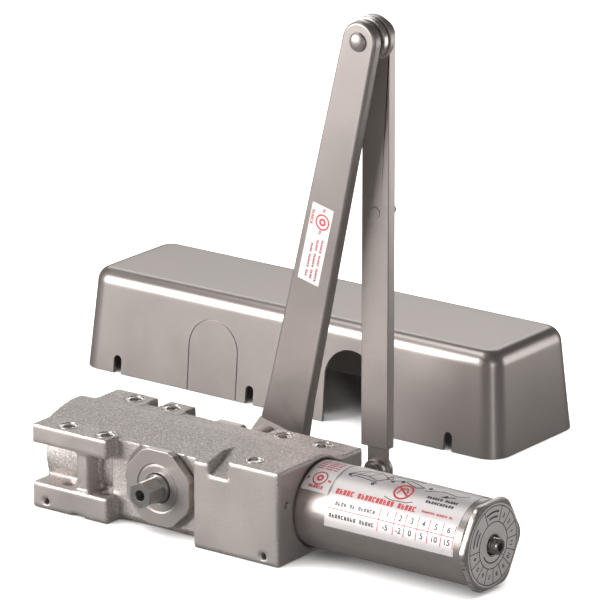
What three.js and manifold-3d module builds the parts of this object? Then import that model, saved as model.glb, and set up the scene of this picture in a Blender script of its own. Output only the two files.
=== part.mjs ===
// Heavy-duty surface door closer, lying on its mounting face with its cover taken off.
// Millimetres, +Z up. The origin is on the mounting face, straight below the pinion.
// x runs along the cylinder (spring tube towards +x), y along the pinion (arm towards +y).

import * as THREE from 'three';
import { mergeVertices } from 'three/addons/utils/BufferGeometryUtils.js';
import Module from 'manifold-3d';

const wasm = await Module();
wasm.setup();

// ---------------------------------------------------------------- driving dimensions

const gap = 0.3; // clearance between pieces that touch
const axisHeight = 29; // cylinder axis above the mounting face

const body = {
  left: -92.5,
  right: 94,
  faceY: 42.3, // machined front and rear faces
  recessY: 31.5, // recessed faces around the pinion
  castRadius: 29.4, // outside of the cast cylinder
  lugRight: -35.3, // end of the left-hand lugs
  blockLeft: 31, // start of the valve block
  lowerLugTop: 16,
  upperLugBottom: 41,
  upperLugTop: 53,
  shoulder: 51.5, // top of the recessed faces
  crown: 58.8, // highest point of the rough-cast top
  blockTop: 58.4,
  bottomChamfer: 4, // along the pinion block
};
const ribs = { left: [-60, -50.5], right: [52, 61.5], setBack: 2 }; // between the lugs' plates
const frontLugs = [[body.left, body.lugRight]];
const rearLugs = [[body.left, -60.5], [-51.5, -31.5]];
const rearFlange = { bottom: 40, top: 52 }; // behind the valve block
const notch = { left: -63, right: -53, depth: 9, height: 1.6 }; // under the front lug
const bore = { radius: 20.3, plugRadius: 22, plugDepth: 12, socketRadius: 26.7, socketDepth: 10 };
const tube = { outer: 26.4, wall: 2, start: body.right - bore.socketDepth + gap, end: 213.5 };
const cap = { flange: 4.5, corner: 28.9, face: 218, spigotFrom: 203, screwRecess: 9 };
const screw = { radius: 5, tip: 223.5, collar: 8.6, pitch: 1.75 };
const pinion = {
  journal: 9, hexFlats: 14.6, tip: 54.3, teeth: 12, module: 1.5, gearHalf: 13, tapping: 3.4,
  tapDepth: 15,
};
const pinionBore = 17.2; // bore for the bearing nuts
const nut = { frontFlats: 47.5, rearFlats: 44.4, round: 24.9, face: 37.3 };
const mountHoles = { x: [42.5, 71.5], y: 32.4, radius: 3.6, spotRadius: 6.2, spotBottom: 51.6 };
const coverScrewHoles = { x: [-82.4, 82.6], z: 4.8, radius: 2.3, depth: 11 };

const arm = {
  length: 265.4, lean: 12.68, frontY: 85, thickness: 8, hub: 17.5, halfWidth: 15.8, flare: 30,
  head: 12.2, eye: 5.3, hubFront: 41, hubRadius: 10.8, hexDepth: 15, slopeTop: 6, slope: 14,
};
const forearm = {
  frontY: 103, width: 20, depth: 7, wall: 2.5, length: 259.5, screwAt: 110, disc: 14,
  discDepth: 4,
};
const bar = { width: 14, thickness: 3.8, top: 50, eye: 7.6, slotHalf: 3.3, slotUp: 48, slotDown: 18 };
const foot = {
  pinHeight: 13, plate: 4, halfLength: 38, halfWidth: 8, ear: 7.5, pin: 3.5, screwHole: 3,
};
const cover = {
  length: 332, width: 92, height: 67, wall: 1.6, corner: 14, edge: 9, draft: 0.085,
  centreX: -78.8, centreY: 239, featureShift: -3.5,
};

// ---------------------------------------------------------------- materials

const finishes = {
  castMetal: { color: 0xa39a94, roughness: 0.62, metalness: 0.75 },
  machinedMetal: { color: 0xb2aaa4, roughness: 0.38, metalness: 0.85 },
  paintedMetal: { color: 0xa59b96, roughness: 0.42, metalness: 0.7 },
  steel: { color: 0x8d8884, roughness: 0.32, metalness: 0.95 },
  springSteel: { color: 0x4d4a48, roughness: 0.4, metalness: 0.9 },
  darkSteel: { color: 0x5b5754, roughness: 0.35, metalness: 0.95 },
  brass: { color: 0xb08d4a, roughness: 0.35, metalness: 0.95 },
  rubber: { color: 0x1e1d1c, roughness: 0.8, metalness: 0 },
  label: { color: 0xe6dfdd, roughness: 0.6, metalness: 0 },
};

// ---------------------------------------------------------------- shape helpers

const X = new THREE.Vector3(1, 0, 0);
const Y = new THREE.Vector3(0, 1, 0);
const Z = new THREE.Vector3(0, 0, 1);

function solid(geometry) {
  const plain = geometry.clone();
  plain.deleteAttribute('normal');
  plain.deleteAttribute('uv');
  const merged = mergeVertices(plain, 1e-4);
  const mesh = new wasm.Mesh({
    numProp: 3,
    vertProperties: new Float32Array(merged.attributes.position.array),
    triVerts: new Uint32Array(merged.index.array),
  });
  mesh.merge();
  return new wasm.Manifold(mesh);
}

function surface(manifold) {
  const { vertProperties, triVerts } = manifold.getMesh();
  const geometry = new THREE.BufferGeometry();
  geometry.setAttribute('position', new THREE.BufferAttribute(vertProperties, 3));
  geometry.setIndex(new THREE.BufferAttribute(triVerts, 1));
  return geometry;
}

function join(...pieces) {
  return pieces.reduce((whole, piece) => whole.add(piece));
}

function cut(whole, ...tools) {
  return tools.reduce((rest, tool) => rest.subtract(tool), whole);
}

function box(x0, x1, y0, y1, z0, z1) {
  const geometry = new THREE.BoxGeometry(x1 - x0, y1 - y0, z1 - z0);
  return solid(geometry.translate((x0 + x1) / 2, (y0 + y1) / 2, (z0 + z1) / 2));
}

// Turns a geometry built around +Y so that it runs along the named axis.
function along(axis, geometry) {
  if (axis === 'x') return geometry.rotateZ(-Math.PI / 2);
  if (axis === 'z') return geometry.rotateX(Math.PI / 2);
  return geometry;
}

// centre holds the two coordinates across the axis, in x, y, z order.
function offset(axis, centre, distance) {
  const [a, b] = centre;
  if (axis === 'x') return [distance, a, b];
  if (axis === 'y') return [a, distance, b];
  return [a, b, distance];
}

function rod(axis, radius, from, to, centre = [0, 0], segments = 28) {
  const geometry = new THREE.CylinderGeometry(radius, radius, to - from, segments);
  return solid(along(axis, geometry).translate(...offset(axis, centre, (from + to) / 2)));
}

// Solid of revolution. The profile is a list of [radius, distance along the axis], which
// starts and ends on the axis or is closed here.
function turned(axis, profile, centre = [0, 0], segments = 28) {
  const points = profile.map(([r, t]) => new THREE.Vector2(r, t));
  if (points[0].x > 0) points.push(points[0].clone());
  const geometry = new THREE.LatheGeometry(points, segments);
  const whole = solid(along(axis, geometry).translate(...offset(axis, centre, 0)));
  return whole.volume() < 0 ? solid(flipped(surface(whole))) : whole;
}

function flipped(geometry) {
  const index = geometry.index.array;
  for (let i = 0; i < index.length; i += 3) [index[i], index[i + 1]] = [index[i + 1], index[i]];
  return geometry;
}

function ring(axis, inner, outer, from, to, centre = [0, 0], segments = 28) {
  return cut(rod(axis, outer, from, to, centre, segments),
    rod(axis, inner, from - 1, to + 1, centre, segments));
}

// Extrudes a shape along an axis: x takes (y, z) shapes, y takes (x, z), z takes (x, y).
function prism(axis, shape, from, to, options = {}) {
  const geometry = new THREE.ExtrudeGeometry(shape, {
    depth: to - from, bevelEnabled: false, curveSegments: 8, ...options,
  });
  const basis = new THREE.Matrix4();
  if (axis === 'x') basis.makeBasis(Y, Z, X).setPosition(from, 0, 0);
  if (axis === 'y') basis.makeBasis(X, Z, Y.clone().negate()).setPosition(0, to, 0);
  if (axis === 'z') basis.setPosition(0, 0, from);
  return solid(geometry.applyMatrix4(basis));
}

function polygonShape(points) {
  return new THREE.Shape(points.map(([u, v]) => new THREE.Vector2(u, v)));
}

function regularShape(sides, flats, turn = 0) {
  const radius = flats / 2 / Math.cos(Math.PI / sides);
  const corner = (i) => turn + (2 * Math.PI * i) / sides;
  return polygonShape(Array.from({ length: sides },
    (_, i) => [radius * Math.cos(corner(i)), radius * Math.sin(corner(i))]));
}

function moved(piece, x, y, z) {
  return piece.translate([x, y, z]);
}

// ---------------------------------------------------------------- scene graph helpers

const group = new THREE.Group();

function add(name, piece, finish, parent = group) {
  const geometry = surface(piece).toNonIndexed();
  geometry.computeVertexNormals();
  const mesh = new THREE.Mesh(geometry, new THREE.MeshStandardMaterial(finishes[finish]));
  mesh.name = name;
  parent.add(mesh);
  return mesh;
}

const onAxis = [0, axisHeight]; // centre of rods along x or y that pass through the pinion axis

// ---------------------------------------------------------------- cast body

function castTop() {
  const { recessY, shoulder, crown, left, right } = body;
  const shape = new THREE.Shape();
  shape.moveTo(-recessY, 40);
  shape.lineTo(-recessY, shoulder);
  shape.bezierCurveTo(-recessY + 7, shoulder + 1.5, -14, crown, 0, crown);
  shape.bezierCurveTo(8, crown, 13, shoulder + 3, 19, shoulder + 1.5);
  shape.lineTo(recessY, shoulder);
  shape.lineTo(recessY, 40);
  return prism('x', shape, left, right);
}

// One side of the left-hand lugs: an upper and a lower plate with a rib between them.
function lugs(side, plates) {
  const [y0, y1] = side < 0 ? [-body.faceY, 0] : [0, body.faceY];
  const ribY = body.faceY - ribs.setBack;
  const [rib0, rib1] = side < 0 ? [-ribY, 0] : [0, ribY];
  return join(
    ...plates.map(([x0, x1]) => box(x0, x1, y0, y1, body.upperLugBottom, body.upperLugTop)),
    box(body.left, body.lugRight, y0, y1, 0, body.lowerLugTop),
    box(...ribs.left, rib0, rib1, 1, body.upperLugBottom + 1),
  );
}

// The pinion block, with the lower edges of its recessed faces chamfered.
function pinionBlock() {
  const { recessY, shoulder, lugRight, blockLeft, bottomChamfer: chamfer } = body;
  const shape = polygonShape([
    [-recessY + chamfer, 0], [recessY - chamfer, 0], [recessY, chamfer], [recessY, shoulder],
    [-recessY, shoulder], [-recessY, chamfer],
  ]);
  return prism('x', shape, lugRight - 5, blockLeft + 5);
}

// The valve block fills the front; behind it the rear lugs mirror the left-hand ones.
function valveBlock() {
  const { faceY, blockLeft, right, blockTop, lowerLugTop } = body;
  return join(
    box(blockLeft, right, -faceY, 2, 0, blockTop),
    box(blockLeft, right, 0, faceY, rearFlange.bottom, rearFlange.top),
    box(blockLeft, right, 0, faceY, 0, lowerLugTop),
    box(...ribs.right, 0, faceY - ribs.setBack, 1, rearFlange.bottom + 1),
  );
}

// The sloped pocket in the valve block's top front edge, and the lowered corner beside it.
function pocket() {
  const front = -body.faceY - 1;
  const pocketSlope = polygonShape([[front, 46.5], [-14, 60], [front, 60]]);
  const cornerSlope = polygonShape([[front, 54], [-20, 60], [front, 60]]);
  return join(prism('x', pocketSlope, 42, 57), prism('x', cornerSlope, 30, 43));
}

function mountingHoles() {
  const holes = [];
  const { x, y, radius, spotRadius, spotBottom } = mountHoles;
  for (const distance of x) {
    holes.push([-distance, -y], [-distance, y], [distance, y]);
  }
  return join(...holes.flatMap((centre) => [
    rod('z', radius, -1, 60, centre, 18),
    rod('z', spotRadius, spotBottom, 70, centre, 24),
  ]));
}

function coverScrewHolesBothSides() {
  const { x, z, radius, depth } = coverScrewHoles;
  return join(...x.flatMap((at) => [
    rod('y', radius, -body.faceY - 1, -body.faceY + depth, [at, z], 14),
    rod('y', radius, body.faceY - depth, body.faceY + 1, [at, z], 14),
  ]));
}

const backcheck = { x: 67.6, y: -29.8, radius: 4.2, depth: 27 };
const endValve = { y: 24, z: 8, radius: 3.1, depth: 22 };
const plugHole = { y: -33.4, z: 36.7, radius: 1.6, depth: 9 };
const oilway = 1.3; // radius of the drillings between the valves and the bore

function valveHoles() {
  const { left, right, blockTop } = body;
  const endValves = [-1, 1].flatMap((side) => [
    rod('x', endValve.radius, left - 1, left + endValve.depth, [side * endValve.y, endValve.z], 18),
    rod('y', oilway, Math.min(0, side * endValve.y), Math.max(0, side * endValve.y),
      [left + endValve.depth - 3, endValve.z + 2], 8),
  ]);
  return join(
    rod('z', backcheck.radius, blockTop - backcheck.depth, 70, [backcheck.x, backcheck.y], 20),
    rod('y', oilway, backcheck.y, -10, [backcheck.x, blockTop - backcheck.depth + 4], 8),
    rod('x', plugHole.radius, right - plugHole.depth, right + 1, [plugHole.y, plugHole.z], 12),
    ...endValves,
  );
}

function bores() {
  const { left, right } = body;
  return join(
    rod('x', bore.radius, left - 1, right + 1, onAxis, 36),
    rod('x', bore.plugRadius, left - 1, left + bore.plugDepth, onAxis, 36),
    rod('x', bore.socketRadius, right - bore.socketDepth, right + 1, onAxis, 48),
    rod('y', pinionBore, -body.faceY - 5, body.faceY + 5, onAxis, 32),
  );
}

function bodyCasting() {
  const { left, right, castRadius, faceY } = body;
  const barrel = rod('x', castRadius, left, right, onAxis, 40);
  const whole = join(barrel, castTop(), lugs(-1, frontLugs), lugs(1, rearLugs), pinionBlock(),
    valveBlock());
  const belowFloor = box(left - 1, right + 1, -60, 60, -10, 0);
  const underNotch = box(notch.left, notch.right, -faceY - 1, notch.depth - faceY, -1,
    notch.height);
  return cut(whole, belowFloor, underNotch, pocket(), mountingHoles(),
    coverScrewHolesBothSides(), valveHoles(), bores());
}

// ---------------------------------------------------------------- cylinder internals

function endPlug() {
  const plugFace = body.left + 1;
  const inner = body.left + bore.plugDepth - gap;
  return cut(
    turned('x', [
      [0, plugFace], [bore.plugRadius - 1.3, plugFace], [bore.plugRadius - gap, plugFace + 1],
      [bore.plugRadius - gap, inner - 5], [bore.plugRadius - 2.3, inner - 5],
      [bore.plugRadius - 2.3, inner - 2.4], [bore.plugRadius - gap, inner - 2.4],
      [bore.plugRadius - gap, inner], [0, inner],
    ], onAxis, 36),
    moved(prism('x', regularShape(6, 14), plugFace - 1, plugFace + 7), 0, 0, axisHeight),
  );
}

function endPlugSeal() {
  const groove = body.left + bore.plugDepth - gap;
  return ring('x', bore.plugRadius - 2, bore.plugRadius - 0.15, groove - 4.7, groove - 2.7,
    onAxis, 36);
}

// Involute half-thickness angle of a gear tooth at a radius.
function toothHalfAngle(radius, pitchRadius, baseRadius, teeth, backlash) {
  const involute = (r) => {
    const pressure = Math.acos(Math.min(1, baseRadius / r));
    return Math.tan(pressure) - pressure;
  };
  const atPitch = Math.PI / (2 * teeth) - backlash / (2 * pitchRadius);
  return atPitch + involute(pitchRadius) - involute(Math.max(radius, baseRadius));
}

const pressureAngle = Math.PI / 6;
const pitchRadius = (pinion.teeth * pinion.module) / 2;

function gearShape() {
  const { teeth, module } = pinion;
  const base = pitchRadius * Math.cos(pressureAngle);
  const root = pitchRadius - 1.15 * module;
  const tip = pitchRadius + 0.85 * module;
  const radii = [root, base, pitchRadius - 0.35, pitchRadius + 0.5, tip];
  const half = (r) => toothHalfAngle(r, pitchRadius, base, teeth, 0.3);
  const points = [];
  for (let tooth = 0; tooth < teeth; tooth += 1) {
    const middle = (2 * Math.PI * tooth) / teeth;
    const flank = radii.map((r) => [r, half(r)]);
    const rising = flank.map(([r, a]) => [r, middle - a]);
    const falling = flank.reverse().map(([r, a]) => [r, middle + a]);
    for (const [r, a] of [...rising, ...falling]) points.push([r * Math.cos(a), r * Math.sin(a)]);
  }
  return polygonShape(points);
}

function pinionShaft() {
  const { journal, hexFlats, tip, gearHalf, tapping, tapDepth } = pinion;
  const collar = nut.face + 2.4;
  const hex = prism('y', regularShape(6, hexFlats, Math.PI / 6), -tip, tip);
  const roundedHex = hex.intersect(rod('y', hexFlats / 2 + 0.75, -tip, tip, [0, 0], 40));
  const blank = join(
    prism('y', gearShape(), -gearHalf, gearHalf),
    rod('y', journal, -collar, -gearHalf + 0.5),
    rod('y', journal, gearHalf - 0.5, collar),
    roundedHex,
  );
  const tapped = cut(blank, rod('y', tapping, -tip - 1, -tip + tapDepth, [0, 0], 24),
    rod('y', tapping, tip - tapDepth, tip + 1, [0, 0], 24));
  return moved(tapped, 0, 0, axisHeight);
}

const rack = { left: -28.5, right: 22.5, halfWidth: 12.2, pitchZ: axisHeight - pitchRadius };

function rackTeeth() {
  const { module } = pinion;
  const pitch = Math.PI * module;
  const tipZ = rack.pitchZ + 0.85 * module;
  const rootZ = rack.pitchZ - 1.2 * module;
  const lean = Math.tan(pressureAngle);
  const half = (z) => pitch / 4 - 0.08 - (z - rack.pitchZ) * lean;
  const teeth = [];
  for (let k = -5; k <= 3; k += 1) {
    const middle = (k + 0.5) * pitch;
    const outline = [[-half(rootZ - 1), rootZ - 1], [half(rootZ - 1), rootZ - 1],
      [half(tipZ), tipZ], [-half(tipZ), tipZ]];
    const shape = polygonShape(outline.map(([u, v]) => [middle + u, v]));
    teeth.push(prism('y', shape, -rack.halfWidth, rack.halfWidth));
  }
  return { teeth: join(...teeth), rootZ };
}

const piston = {
  radius: 19.7, left: -64, right: 58, sealAt: -50, sealWidth: 3.2,
  ballHole: 3.4, ballPocket: 11, recess: 11, recessDepth: 16,
};
const windowTop = axisHeight + 11.4; // the slot in the piston that the pinion passes through

function pistonBody() {
  const { teeth, rootZ } = rackTeeth();
  const { radius, left, right, sealAt, sealWidth, ballHole, ballPocket } = piston;
  const blank = rod('x', radius, left, right, onAxis, 36);
  const slot = box(rack.left, rack.right, -30, 30, rootZ, windowTop);
  const clearTeeth = box(rack.left, rack.right, -30, 30, rootZ - 1, rootZ + 12);
  const rackInSlot = teeth.intersect(clearTeeth);
  const sealGroove = ring('x', radius - 2.3, radius + 2, sealAt, sealAt + sealWidth, onAxis, 36);
  return cut(
    join(cut(blank, slot), rackInSlot),
    sealGroove,
    rod('x', ballHole, left - 1, left + ballPocket, onAxis, 16),
    rod('x', 1.8, left, rack.left + 2, onAxis, 10),
    rod('x', piston.recess, right - piston.recessDepth, right + 1, onAxis, 24),
  );
}

function checkBall() {
  const ball = new THREE.SphereGeometry(2.9, 14, 8);
  return solid(ball.translate(piston.left + piston.ballPocket - 3.3, 0, axisHeight));
}

function coilSpring(meanRadius, wire, turns, from, to, segmentsPerTurn) {
  class Helix extends THREE.Curve {
    getPoint(t, target = new THREE.Vector3()) {
      const angle = 2 * Math.PI * turns * t;
      return target.set(from + wire + (to - from - 2 * wire) * t,
        meanRadius * Math.cos(angle), meanRadius * Math.sin(angle));
    }
  }
  const section = new THREE.Shape();
  section.absarc(0, 0, wire, 0, 2 * Math.PI);
  const geometry = new THREE.ExtrudeGeometry(section, {
    extrudePath: new Helix(), steps: turns * segmentsPerTurn, curveSegments: 3,
  });
  return moved(solid(geometry), 0, 0, axisHeight);
}

const follower = {
  from: piston.right + gap, to: piston.right + 5.3, outer: 19.9, spigot: 12.6, inner: 6,
};
const seat = { from: 186, to: 194, radius: 23.6, spigot: 7.3 };

function springFollower() {
  const { from, to, outer, spigot, inner } = follower;
  return turned('x', [[inner, from], [outer, from], [outer, to], [spigot, to],
    [spigot, to + 4], [inner, to + 4]], onAxis, 28);
}

function springSeat() {
  const { from, to, radius, spigot } = seat;
  const inner = screw.radius + gap;
  return turned('x', [[inner, from - 5], [spigot, from - 5], [spigot, from], [radius, from],
    [radius, to], [inner, to]], onAxis, 28);
}

// ---------------------------------------------------------------- bearings and shaft seals

const bearing = { outer: 12.5, from: 21.4, to: 30.6, sealFrom: 31, sealTo: 35.2 };

// An octagonal nut with turned corners, threaded into the side of the body.
function bearingNut(flats) {
  const { round, face } = nut;
  const back = body.recessY + gap;
  const flange = prism('y', regularShape(8, flats, Math.PI / 8), back, face)
    .intersect(rod('y', round, back, face, [0, 0], 40));
  const spigot = rod('y', pinionBore - gap, bearing.from - 0.2, back + 1, [0, 0], 32);
  const faceGroove = ring('y', 14.2, 15.4, face - 0.7, face + 1, [0, 0], 36);
  return cut(join(flange, spigot),
    rod('y', bearing.outer + gap, bearing.from - 1, face - 1.8, [0, 0], 28),
    rod('y', pinion.journal + 0.5, bearing.from - 1, face + 1, [0, 0], 28),
    faceGroove);
}

function onPinionSide(side, piece) {
  const placed = side < 0 ? piece.mirror([0, 1, 0]) : piece;
  return moved(placed, 0, 0, axisHeight);
}

function addBearings() {
  const { outer, from, to, sealFrom, sealTo } = bearing;
  const inner = pinion.journal + gap;
  for (const [label, side, flats] of [['front', -1, nut.frontFlats], ['rear', 1, nut.rearFlats]]) {
    add(`${label}_bearing_nut`, onPinionSide(side, bearingNut(flats)), 'machinedMetal');
    add(`${label}_pinion_bushing`, onPinionSide(side, ring('y', inner, outer, from, to)), 'brass');
    add(`${label}_shaft_seal`, onPinionSide(side, ring('y', inner, outer, sealFrom, sealTo)),
      'rubber');
  }
}

// ---------------------------------------------------------------- spring tube and its end

function springTube() {
  return ring('x', tube.outer - tube.wall, tube.outer, tube.start, tube.end, onAxis, 48);
}

// A six-cornered flange whose corners and flats are both rounded.
function capFlangeShape() {
  const shape = new THREE.Shape();
  const flatRadius = tube.outer + 0.1;
  const steps = 7;
  for (let i = 0; i < 6 * steps; i += 1) {
    const angle = (Math.PI / 3) * (i / steps);
    const swell = Math.abs(Math.cos(3 * angle)) ** 3;
    const radius = flatRadius + (cap.corner - flatRadius) * swell;
    const [u, v] = [radius * Math.cos(angle), radius * Math.sin(angle)];
    if (i === 0) shape.moveTo(u, v);
    else shape.lineTo(u, v);
  }
  return shape;
}

function endCap() {
  const back = cap.face - cap.flange + gap;
  const flange = prism('x', capFlangeShape(), back, cap.face, {
    bevelEnabled: true, bevelSize: 0.8, bevelThickness: 0.8, bevelOffset: -0.8, bevelSegments: 1,
    depth: cap.flange - gap - 1.6,
  });
  const placed = moved(flange, 0.8, 0, axisHeight);
  const spigot = ring('x', 19, tube.outer - tube.wall - gap, cap.spigotFrom, back + 2, onAxis,
    36);
  const web = rod('x', 21, cap.spigotFrom + 6, back + 1, onAxis, 36);
  return cut(join(placed, spigot, web),
    rod('x', screw.radius + gap, cap.spigotFrom, cap.face + 1, onAxis, 18),
    rod('x', cap.screwRecess, cap.face - 3, cap.face + 1, onAxis, 24));
}

const collarEnd = cap.spigotFrom + 3.7;

// The adjusting screw: a shallow thread, a collar inside the cap and a hexagon socket.
function adjustingScrew() {
  const { radius, tip, collar, pitch } = screw;
  const inner = 150;
  const thread = [[0, inner], [radius - 0.9, inner], [radius - 0.1, inner + 1]];
  for (let t = 212; t < tip - 2; t += pitch) {
    thread.push([radius - 0.1, t], [radius - 0.6, t + pitch / 2]);
  }
  thread.push([radius - 0.2, tip - 1], [radius - 0.8, tip], [0, tip]);
  return cut(
    join(turned('x', thread, onAxis, 18),
      rod('x', collar, cap.spigotFrom + gap, collarEnd, onAxis, 24)),
    moved(prism('x', regularShape(6, 5), tip - 6, tip + 1), 0, 0, axisHeight),
  );
}

// A printed skin on the spring tube, from one angle to another above the horizontal.
function tubeLabel(from, to, low, high) {
  const inner = tube.outer + 0.12;
  const outer = tube.outer + 0.3;
  const toAngle = (degrees) => Math.PI - THREE.MathUtils.degToRad(degrees);
  const shape = new THREE.Shape();
  shape.absarc(0, 0, outer, toAngle(low), toAngle(high), true);
  shape.absarc(0, 0, inner, toAngle(high), toAngle(low), false);
  return moved(prism('x', shape, from, to, { curveSegments: 16 }), 0, 0, axisHeight);
}

function addSpringEnd() {
  add('spring_tube', springTube(), 'paintedMetal');
  add('tube_end_cap', endCap(), 'machinedMetal');
  add('thrust_washer', ring('x', screw.radius + gap, 9.5, collarEnd + gap, collarEnd + 2,
    onAxis, 20), 'steel');
  add('dial_plate', ring('x', cap.screwRecess + gap, 25.2, cap.face + 0.1, cap.face + 0.4,
    onAxis, 40), 'label');
  add('adjusting_screw', adjustingScrew(), 'darkSteel');
  add('spring_seat_nut', springSeat(), 'steel');
  add('adjustment_chart_label', tubeLabel(116, 208.5, -4, 112), 'label');
  add('rating_label', tubeLabel(95, 114.5, 36, 100), 'label');
}

// ---------------------------------------------------------------- regulating valves

function valveScrew(radius, length, shank) {
  const blank = turned('z', [[0, 0], [radius, 0], [radius, -3.5], [radius - 1.2, -3.5],
    [radius - 1.2, -5.8], [radius, -5.8], [radius, -length + shank], [1.1, -length],
    [0, -length]], [0, 0], 18);
  return cut(blank, box(-radius * 0.75, radius * 0.75, -0.5, 0.5, -1.3, 1));
}

function valveSeal(radius) {
  return ring('z', radius - 1, radius + 0.05, -5.5, -3.8, [0, 0], 18);
}

function towardsLeft(piece, side) {
  return moved(piece.rotate([0, -90, 0]), body.left + 0.4, side * endValve.y, endValve.z);
}

function addValves() {
  const large = backcheck.radius - gap;
  const small = endValve.radius - gap;
  const onBlock = (piece) => moved(piece, backcheck.x, backcheck.y, body.blockTop - 0.8);
  add('backcheck_valve', onBlock(valveScrew(large, 24, 6)), 'steel');
  add('backcheck_valve_seal', onBlock(valveSeal(large)), 'rubber');
  for (const [label, side] of [['sweep', -1], ['latch', 1]]) {
    add(`${label}_valve`, towardsLeft(valveScrew(small, 18, 4), side), 'steel');
    add(`${label}_valve_seal`, towardsLeft(valveSeal(small), side), 'rubber');
  }
  const ball = new THREE.SphereGeometry(plugHole.radius - 0.1, 10, 8);
  add('passage_plug', solid(ball.translate(body.right - 0.4, plugHole.y, plugHole.z)), 'steel');
}

// ---------------------------------------------------------------- main arm

function armShape() {
  const { length, hub, halfWidth, flare, head } = arm;
  const tangent = THREE.MathUtils.degToRad(8);
  const shape = new THREE.Shape();
  shape.absarc(0, length, head, Math.PI, 0, true);
  shape.lineTo(halfWidth, flare);
  shape.absarc(0, 0, hub, tangent, Math.PI - tangent, true);
  shape.lineTo(-halfWidth, flare);
  return shape;
}

// The hub: below the blade the forging slopes forward, then narrows to a long round boss.
function armHub() {
  const { hub, slopeTop, slope, hubRadius, hubFront, frontY } = arm;
  const side = polygonShape([[1, slopeTop], [0, slopeTop], [-slope, slopeTop - slope],
    [-slope, -hub], [1, -hub]]);
  const outline = new THREE.Shape();
  outline.absarc(0, 0, hub, Math.PI, 2 * Math.PI);
  outline.lineTo(hub, slopeTop);
  outline.lineTo(-hub, slopeTop);
  const wedge = prism('x', side, -hub, hub)
    .intersect(prism('y', outline, -slope - 1, 2, { curveSegments: 16 }));
  return join(wedge, rod('y', hubRadius, hubFront - frontY, 1 - slope, [0, 0], 28));
}

function mainArm() {
  const edge = 1.8;
  const { thickness, eye, length, hubFront, frontY, hexDepth } = arm;
  const plate = moved(prism('y', armShape(), 0, thickness, {
    bevelEnabled: true, bevelSize: edge, bevelThickness: edge, bevelOffset: -edge,
    bevelSegments: 2, depth: thickness - 2 * edge, curveSegments: 12,
  }), 0, -edge, 0);
  const upright = cut(join(plate, armHub()),
    rod('y', eye, -2, thickness + 1, [0, length], 20),
    rod('y', armScrewHole, hubFront - frontY, thickness + 1, [0, 0], 20));
  const hexHole = prism('y', regularShape(6, pinion.hexFlats + 2 * gap, Math.PI / 6),
    hubFront - frontY - 1, hubFront - frontY + hexDepth);
  // The hexagonal hole keeps the pinion's angle while the arm leans.
  const geometry = surface(upright).rotateY(THREE.MathUtils.degToRad(arm.lean));
  return cut(solid(geometry), hexHole);
}

const hubRear = arm.frontY + arm.thickness;
const armWasher = 1.6;
const armScrewHole = 3.4;

function elbowRivet() {
  const front = arm.frontY;
  const rear = forearm.frontY + forearm.wall;
  const shank = arm.eye - gap;
  return turned('y', [[0, front - 2.6], [2.5, front - 2.3], [4.6, front - 1.4], [6, front - gap],
    [shank, front - gap], [shank, rear + gap], [6.6, rear + gap], [5.6, rear + 2],
    [0, rear + 2.6]], [0, 0], 20);
}

function armScrew() {
  const seatY = hubRear + 2 * gap + armWasher;
  const head = prism('y', regularShape(6, 12.7), seatY, seatY + 4.4);
  return join(head, rod('y', armScrewHole - gap, arm.hubFront + 1, seatY + 1, [0, 0], 24));
}

// ---------------------------------------------------------------- forearm and foot

// A channel, open to the rear, with a rounded head that carries a disc against the elbow.
function forearmChannel() {
  const half = forearm.width / 2;
  const { depth, wall, length, screwAt } = forearm;
  const outline = new THREE.Shape();
  outline.absarc(0, 0, half, Math.PI, 0, true);
  outline.lineTo(half, -length);
  outline.lineTo(-half, -length);
  const whole = prism('y', outline, 0, depth, { curveSegments: 14 });
  const inside = box(-half + wall, half - wall, wall, depth + 1, -length - 1, 0);
  const pivotPocket = rod('y', half - wall, wall, depth + 1, [0, 0], 20);
  const disc = rod('y', forearm.disc, -forearm.discDepth, 0.5, [0, 0], 32);
  return cut(join(cut(whole, inside, pivotPocket), disc),
    rod('y', arm.eye, -10, 10, [0, 0], 20),
    rod('y', 3.4, -1, 4, [0, -screwAt], 14));
}

// The bar that slides in the channel: a slot for the lock screw and an eye for the foot pin.
function forearmBar() {
  const half = bar.width / 2;
  const eyeZ = foot.pinHeight - elbow.z;
  const outline = new THREE.Shape();
  outline.moveTo(-half, -bar.top);
  outline.lineTo(half, -bar.top);
  outline.lineTo(half, eyeZ + 4);
  outline.absarc(0, eyeZ, bar.eye, 0.4, Math.PI - 0.4, true);
  outline.lineTo(-half, eyeZ + 4);
  const slot = new THREE.Shape();
  slot.absarc(0, bar.slotUp - forearm.screwAt, bar.slotHalf, 0, Math.PI);
  slot.absarc(0, -bar.slotDown - forearm.screwAt, bar.slotHalf, Math.PI, 2 * Math.PI);
  const front = forearm.wall + gap;
  return cut(prism('y', outline, front, front + bar.thickness),
    prism('y', slot, 0, 10), rod('y', foot.pin + gap, 0, 10, [0, eyeZ], 18));
}

function lockScrew() {
  const washerTop = forearm.wall + gap + bar.thickness + gap + 1.2 + gap;
  const head = prism('y', regularShape(6, 11), washerTop, washerTop + 5.6);
  return moved(join(head, rod('y', 2.9, 0.2, washerTop + 1, [0, 0], 20)), 0, 0, -forearm.screwAt);
}

const barMiddleY = forearm.wall + gap + bar.thickness / 2;
const ear = { thickness: 3, gap: bar.thickness / 2 + gap };

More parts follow.
